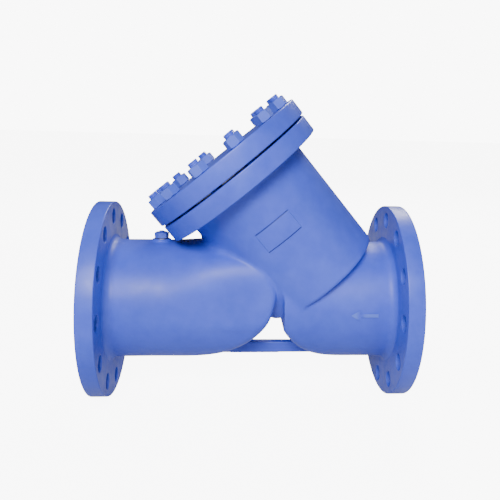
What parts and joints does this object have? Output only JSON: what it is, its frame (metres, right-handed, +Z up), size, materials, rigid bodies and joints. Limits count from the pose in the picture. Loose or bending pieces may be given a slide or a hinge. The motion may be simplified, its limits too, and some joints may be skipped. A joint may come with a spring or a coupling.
{
  "type": "y strainer",
  "caption": "Flanged cast Y strainer for a pipe line: blue painted body with a slanted barrel, bolted blank cover and lift-out basket screen.",
  "frame": {"origin": "on the pipe axis, half way between the two raised flange faces", "axes": "+X along the pipe axis towards the inlet flange, +Z up, so that the branch leans up over the outlet side, and +Y away from the side that carries the pad and the arrow"},
  "size_m": [0.6, 0.375, 0.5858],
  "materials": {
    "casting_paint": "satin",
    "cover_paint": "satin",
    "fastener_paint": "gloss",
    "screen_steel": "satin",
    "gasket_steel": "satin",
    "graphite": "matte"
  },
  "bodies": {
    "body": {"body_casting": "casting_paint", "inlet_flange": "casting_paint", "outlet_flange": "casting_paint", "cover_flange": "casting_paint", "tapping_seal": "gasket_steel", "gasket_inner_ring": "gasket_steel", "gasket_winding": "graphite", "gasket_outer_ring": "gasket_steel", "stud_01": "fastener_paint", "stud_02": "fastener_paint", "stud_03": "fastener_paint", "stud_04": "fastener_paint", "stud_05": "fastener_paint", "stud_06": "fastener_paint", "stud_07": "fastener_paint", "stud_08": "fastener_paint", "stud_09": "fastener_paint", "stud_10": "fastener_paint", "stud_11": "fastener_paint", "stud_12": "fastener_paint"},
    "screen": {"screen_sleeve": "screen_steel", "screen_lining": "screen_steel", "screen_foot_ring": "screen_steel", "screen_top_ring": "screen_steel", "screen_band": "screen_steel", "screen_seam": "screen_steel", "screen_grip": "screen_steel"},
    "cover": {"cover": "cover_paint"},
    "tapping_plug": {"tapping_plug": "fastener_paint"},
    "nut_01": {"nut_01": "fastener_paint"},
    "nut_02": {"nut_02": "fastener_paint"},
    "nut_03": {"nut_03": "fastener_paint"},
    "nut_04": {"nut_04": "fastener_paint"},
    "nut_05": {"nut_05": "fastener_paint"},
    "nut_06": {"nut_06": "fastener_paint"},
    "nut_07": {"nut_07": "fastener_paint"},
    "nut_08": {"nut_08": "fastener_paint"},
    "nut_09": {"nut_09": "fastener_paint"},
    "nut_10": {"nut_10": "fastener_paint"},
    "nut_11": {"nut_11": "fastener_paint"},
    "nut_12": {"nut_12": "fastener_paint"}
  },
  "joints": [
    {"name": "screen_lift", "type": "slide", "parent": "body", "child": "screen", "axis": [-0.6428, 0, 0.766], "range_m": [0, 0.34]},
    {"name": "cover_lift", "type": "slide", "parent": "screen", "child": "cover", "axis": [-0.6428, 0, 0.766], "range_m": [0, 0.16]},
    {"name": "plug_turn", "type": "hinge", "parent": "body", "child": "tapping_plug", "pos_m": [-0.1755, 0, 0.12], "axis": [0, 0, 1], "continuous": true},
    {"name": "nut_01_turn", "type": "hinge", "parent": "cover", "child": "nut_01", "pos_m": [0.04045, 0.03818, 0.37961], "axis": [-0.6428, 0, 0.766], "continuous": true},
    {"name": "nut_02_turn", "type": "hinge", "parent": "cover", "child": "nut_02", "pos_m": [0.01121, 0.1043, 0.35507], "axis": [-0.6428, 0, 0.766], "continuous": true},
    {"name": "nut_03_turn", "type": "hinge", "parent": "cover", "child": "nut_03", "pos_m": [-0.03944, 0.14247, 0.31257], "axis": [-0.6428, 0, 0.766], "continuous": true},
    {"name": "nut_04_turn", "type": "hinge", "parent": "cover", "child": "nut_04", "pos_m": [-0.09793, 0.14247, 0.26349], "axis": [-0.6428, 0, 0.766], "continuous": true},
    {"name": "nut_05_turn", "type": "hinge", "parent": "cover", "child": "nut_05", "pos_m": [-0.14858, 0.1043, 0.22099], "axis": [-0.6428, 0, 0.766], "continuous": true},
    {"name": "nut_06_turn", "type": "hinge", "parent": "cover", "child": "nut_06", "pos_m": [-0.17783, 0.03818, 0.19645], "axis": [-0.6428, 0, 0.766], "continuous": true},
    {"name": "nut_07_turn", "type": "hinge", "parent": "cover", "child": "nut_07", "pos_m": [-0.17783, -0.03818, 0.19645], "axis": [-0.6428, 0, 0.766], "continuous": true},
    {"name": "nut_08_turn", "type": "hinge", "parent": "cover", "child": "nut_08", "pos_m": [-0.14858, -0.1043, 0.22099], "axis": [-0.6428, 0, 0.766], "continuous": true},
    {"name": "nut_09_turn", "type": "hinge", "parent": "cover", "child": "nut_09", "pos_m": [-0.09793, -0.14247, 0.26349], "axis": [-0.6428, 0, 0.766], "continuous": true},
    {"name": "nut_10_turn", "type": "hinge", "parent": "cover", "child": "nut_10", "pos_m": [-0.03944, -0.14247, 0.31257], "axis": [-0.6428, 0, 0.766], "continuous": true},
    {"name": "nut_11_turn", "type": "hinge", "parent": "cover", "child": "nut_11", "pos_m": [0.01121, -0.1043, 0.35507], "axis": [-0.6428, 0, 0.766], "continuous": true},
    {"name": "nut_12_turn", "type": "hinge", "parent": "cover", "child": "nut_12", "pos_m": [0.04045, -0.03818, 0.37961], "axis": [-0.6428, 0, 0.766], "continuous": true}
  ]
}
